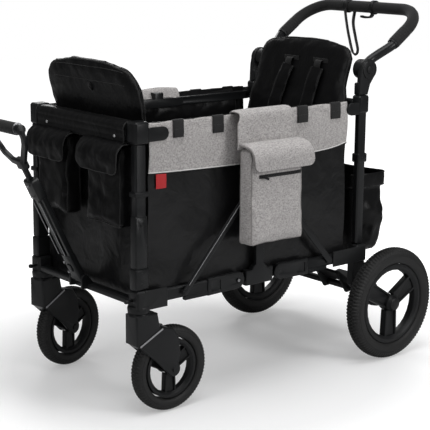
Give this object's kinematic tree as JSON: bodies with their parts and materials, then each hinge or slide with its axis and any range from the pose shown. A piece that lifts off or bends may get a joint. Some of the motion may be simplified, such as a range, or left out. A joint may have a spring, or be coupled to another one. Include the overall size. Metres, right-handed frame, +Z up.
{
  "type": "folding two-seat wagon",
  "caption": "Folding wagon with a cloth tub, side linkages that fold its frame, swivel casters, larger rear wheels, a push bar and a pull handle.",
  "frame": {"origin": "middle of the bounding box in plan, on the ground", "axes": "+X towards the push bar, +Y to the far side, +Z up"},
  "size_m": [1.3405, 0.654, 1.0458],
  "materials": {
    "frame_black": "powder coat, satin",
    "moulded_black": "fine moulded grain",
    "tyre_black": "matt, ribbed tread",
    "foam_black": "soft foam, ribbed",
    "cloth_black": "plain weave with a slight sheen",
    "cloth_grey": "melange weave, matt"
  },
  "bodies": {
    "rear_frame": {"rear_post_near": "frame_black", "rear_post_far": "frame_black", "rear_corner_near": "moulded_black", "rear_corner_far": "moulded_black", "handle_cover_near": "moulded_black", "handle_cover_far": "moulded_black", "rear_top_bar": "frame_black", "rear_axle_beam": "frame_black", "rear_basket": "cloth_black", "tub": "cloth_black", "grey_band_near": "cloth_grey", "grey_band_far": "cloth_grey", "rear_seat": "cloth_black"},
    "push_handle": {"push_bar": "frame_black", "push_grip": "foam_black"},
    "push_button_near": {"push_button_near": "moulded_black"},
    "push_button_far": {"push_button_far": "moulded_black"},
    "brake": {"brake_pedal": "moulded_black"},
    "rear_wheel_near": {"rear_tyre_near": "tyre_black", "rear_rim_near": "moulded_black"},
    "rear_wheel_far": {"rear_tyre_far": "tyre_black", "rear_rim_far": "moulded_black"},
    "rear_backrest": {"rear_backrest": "cloth_black"},
    "rear_floor": {"rear_floor_frame": "frame_black"},
    "rear_arms": {"arm_rear_near": "frame_black", "arm_rear_far": "frame_black"},
    "centre": {"centre_frame": "frame_black", "side_bag": "cloth_grey"},
    "sliders": {"arm_slider_near": "moulded_black", "arm_slider_far": "moulded_black"},
    "rear_top_rails": {"top_rail_rear_near": "frame_black", "top_rail_rear_far": "frame_black"},
    "front_floor": {"front_floor_frame": "frame_black"},
    "front_arms": {"arm_front_near": "frame_black", "arm_front_far": "frame_black"},
    "front_frame": {"front_post_near": "frame_black", "front_post_far": "frame_black", "front_corner_near": "moulded_black", "front_corner_far": "moulded_black", "front_top_panel": "moulded_black", "front_bottom_bar": "frame_black", "front_pouch_near": "cloth_black", "front_pouch_far": "cloth_black", "front_seat": "cloth_black"},
    "front_top_rails": {"top_rail_front_near": "frame_black", "top_rail_front_far": "frame_black"},
    "front_backrest": {"front_backrest": "cloth_black"},
    "caster_near": {"caster_fork_near": "frame_black"},
    "caster_far": {"caster_fork_far": "frame_black"},
    "front_wheel_near": {"front_tyre_near": "tyre_black", "front_rim_near": "moulded_black"},
    "front_wheel_far": {"front_tyre_far": "tyre_black", "front_rim_far": "moulded_black"},
    "swivel_pin_near": {"swivel_pin_near": "moulded_black"},
    "swivel_pin_far": {"swivel_pin_far": "moulded_black"},
    "pull_rails": {"pull_rails": "frame_black"},
    "pull_tube": {"pull_tube": "frame_black", "pull_grip": "foam_black"}
  },
  "joints": [
    {"name": "fold", "type": "hinge", "parent": "rear_frame", "child": "rear_floor", "pos_m": [0.355, 0, 0.325], "axis": [0, 1, 0], "range_deg": [0, 75], "deforming": ["tub", "grey_band_near", "grey_band_far", "rear_seat", "front_seat"]},
    {"name": "centre_joint", "type": "hinge", "parent": "rear_floor", "child": "centre", "pos_m": [0.079, 0, 0.325], "axis": [0, 1, 0], "range_deg": [-75, 0]},
    {"name": "front_floor_joint", "type": "hinge", "parent": "centre", "child": "front_floor", "pos_m": [-0.079, 0, 0.325], "axis": [0, 1, 0], "range_deg": [-75, 0]},
    {"name": "front_frame_joint", "type": "hinge", "parent": "front_floor", "child": "front_frame", "pos_m": [-0.355, 0, 0.325], "axis": [0, 1, 0], "range_deg": [0, 75]},
    {"name": "rear_top_rail_joint", "type": "hinge", "parent": "rear_frame", "child": "rear_top_rails", "pos_m": [0.355, 0, 0.755], "axis": [0, 1, 0], "range_deg": [0, 75]},
    {"name": "front_top_rail_joint", "type": "hinge", "parent": "front_frame", "child": "front_top_rails", "pos_m": [-0.355, 0, 0.755], "axis": [0, 1, 0], "range_deg": [-75, 0]},
    {"name": "rear_arm_joint", "type": "hinge", "parent": "rear_floor", "child": "rear_arms", "pos_m": [0.27, 0, 0.325], "axis": [0, 1, 0], "range_deg": [-52, 0]},
    {"name": "front_arm_joint", "type": "hinge", "parent": "front_floor", "child": "front_arms", "pos_m": [-0.27, 0, 0.325], "axis": [0, 1, 0], "range_deg": [0, 52]},
    {"name": "slider_slide", "type": "slide", "parent": "centre", "child": "sliders", "axis": [0, 0, 1], "range_m": [-0.103, 0]},
    {"name": "push_handle", "type": "hinge", "parent": "rear_frame", "child": "push_handle", "pos_m": [0.426, 0, 0.867], "axis": [0, 1, 0], "range_deg": [-54, 64]},
    {"name": "push_button_near", "type": "slide", "parent": "rear_frame", "child": "push_button_near", "axis": [0, 1, 0], "range_m": [0, 0.004], "stiffness_N_per_m": 300, "springref_m": -0.003},
    {"name": "push_button_far", "type": "slide", "parent": "rear_frame", "child": "push_button_far", "axis": [0, -1, 0], "range_m": [0, 0.004], "stiffness_N_per_m": 300, "springref_m": -0.003},
    {"name": "brake_pedal", "type": "hinge", "parent": "rear_frame", "child": "brake", "pos_m": [0.483, 0, 0.183], "axis": [0, 1, 0], "range_deg": [-14, 14]},
    {"name": "rear_wheel_near", "type": "hinge", "parent": "rear_frame", "child": "rear_wheel_near", "pos_m": [0.487, -0.296, 0.169], "axis": [0, 1, 0], "continuous": true},
    {"name": "rear_wheel_far", "type": "hinge", "parent": "rear_frame", "child": "rear_wheel_far", "pos_m": [0.487, 0.296, 0.169], "axis": [0, 1, 0], "continuous": true},
    {"name": "rear_backrest", "type": "hinge", "parent": "rear_frame", "child": "rear_backrest", "pos_m": [0.318, 0, 0.572], "axis": [0, 1, 0], "range_deg": [-20, 0]},
    {"name": "front_backrest", "type": "hinge", "parent": "front_frame", "child": "front_backrest", "pos_m": [-0.303, 0, 0.572], "axis": [0, 1, 0], "range_deg": [0, 20]},
    {"name": "caster_swivel_near", "type": "hinge", "parent": "front_frame", "child": "caster_near", "pos_m": [-0.399, -0.23, 0.3], "axis": [0, 0, 1], "continuous": true},
    {"name": "caster_swivel_far", "type": "hinge", "parent": "front_frame", "child": "caster_far", "pos_m": [-0.399, 0.23, 0.3], "axis": [0, 0, 1], "continuous": true},
    {"name": "front_wheel_near", "type": "hinge", "parent": "caster_near", "child": "front_wheel_near", "pos_m": [-0.3, -0.23, 0.117], "axis": [0, 1, 0], "continuous": true},
    {"name": "front_wheel_far", "type": "hinge", "parent": "caster_far", "child": "front_wheel_far", "pos_m": [-0.30182, 0.24889, 0.117], "axis": [-0.1908, 0.9816, 0], "continuous": true},
    {"name": "swivel_pin_near", "type": "slide", "parent": "front_frame", "child": "swivel_pin_near", "axis": [-1, 0, 0], "range_m": [0, 0.005], "stiffness_N_per_m": 300, "springref_m": -0.003},
    {"name": "swivel_pin_far", "type": "slide", "parent": "front_frame", "child": "swivel_pin_far", "axis": [-1, 0, 0], "range_m": [0, 0.005], "stiffness_N_per_m": 300, "springref_m": -0.003},
    {"name": "pull_handle", "type": "hinge", "parent": "front_frame", "child": "pull_rails", "pos_m": [-0.428, 0, 0.338], "axis": [0, 1, 0], "range_deg": [-58, 14]},
    {"name": "pull_tube", "type": "slide", "parent": "pull_rails", "child": "pull_tube", "axis": [-0.4462, 0, 0.8949], "range_m": [-0.03, 0.1]}
  ],
  "couplings": [
    {"joint": "centre_joint", "follows": "fold", "ratio": -1},
    {"joint": "front_floor_joint", "follows": "fold", "ratio": -1},
    {"joint": "front_frame_joint", "follows": "fold", "ratio": 1},
    {"joint": "rear_top_rail_joint", "follows": "fold", "ratio": 1},
    {"joint": "front_top_rail_joint", "follows": "fold", "ratio": -1},
    {"joint": "rear_arm_joint", "follows": "fold", "ratio": -0.689},
    {"joint": "front_arm_joint", "follows": "fold", "ratio": 0.689},
    {"joint": "slider_slide", "follows": "fold", "m_per_rad": -0.0782}
  ]
}
